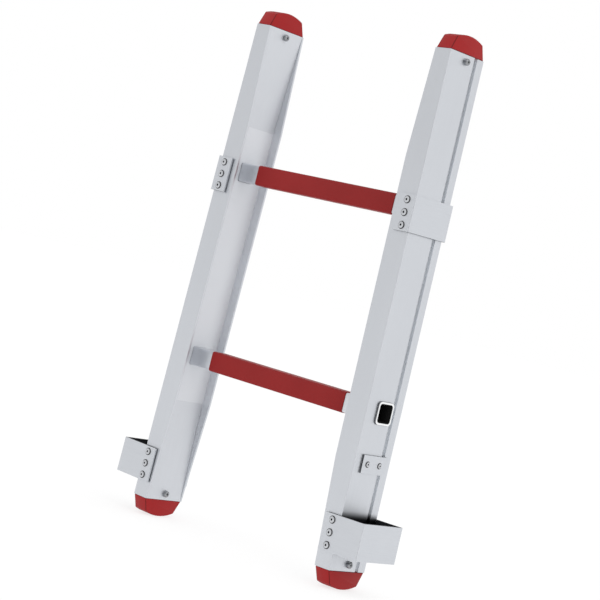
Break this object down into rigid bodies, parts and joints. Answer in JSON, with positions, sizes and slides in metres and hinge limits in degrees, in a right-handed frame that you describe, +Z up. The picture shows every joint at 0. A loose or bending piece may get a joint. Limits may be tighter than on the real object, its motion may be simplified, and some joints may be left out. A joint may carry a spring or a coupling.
{
  "type": "plug-in ladder section",
  "caption": "Short aluminium plug-together ladder section with channel stiles, square rungs in red grip pads, red end caps, side pocket brackets and guide straps.",
  "frame": {"origin": "on the ground under the middle of the ladder: halfway between the stiles and halfway through their depth, level with the lowest point of the foot caps", "axes": "+Z up, +X to the ladder's right, -Y to its front, where the grooves in the stiles' outer faces are furthest away"},
  "size_m": [0.4904, 0.086, 0.7679],
  "materials": {
    "stile_aluminium": "satin extruded",
    "rung_aluminium": "satin extruded",
    "ramp_aluminium": "satin sheet",
    "bracket_aluminium": "satin sheet",
    "stop_plate_aluminium": "satin sheet",
    "rivet_aluminium": "satin",
    "screw_steel": "zinc plated",
    "packer_plastic": "matt",
    "grip_plastic": "matt ribbed",
    "cap_plastic": "moulded, slight sheen"
  },
  "bodies": {
    "root": {"stile_left": "stile_aluminium", "stile_right": "stile_aluminium", "rung_lower": "rung_aluminium", "rung_upper": "rung_aluminium", "rung_pad_lower": "grip_plastic", "rung_pad_upper": "grip_plastic", "end_cap_upper_left": "cap_plastic", "end_ramp_upper_left": "ramp_aluminium", "cap_screws_upper_left": "screw_steel", "end_cap_upper_right": "cap_plastic", "end_ramp_upper_right": "ramp_aluminium", "cap_screws_upper_right": "screw_steel", "end_cap_lower_left": "cap_plastic", "end_ramp_lower_left": "ramp_aluminium", "cap_screws_lower_left": "screw_steel", "end_cap_lower_right": "cap_plastic", "end_ramp_lower_right": "ramp_aluminium", "cap_screws_lower_right": "screw_steel", "guide_strap_left": "bracket_aluminium", "guide_strap_packers_left": "packer_plastic", "guide_strap_rivets_left": "rivet_aluminium", "pocket_bracket_left": "bracket_aluminium", "pocket_bracket_packers_left": "packer_plastic", "pocket_bracket_rivets_left": "rivet_aluminium", "stop_plate_left": "stop_plate_aluminium", "stop_plate_rivets_left": "rivet_aluminium", "guide_strap_right": "bracket_aluminium", "guide_strap_packers_right": "packer_plastic", "guide_strap_rivets_right": "rivet_aluminium", "pocket_bracket_right": "bracket_aluminium", "pocket_bracket_packers_right": "packer_plastic", "pocket_bracket_rivets_right": "rivet_aluminium", "stop_plate_right": "stop_plate_aluminium", "stop_plate_rivets_right": "rivet_aluminium"}
  },
  "joints": []
}
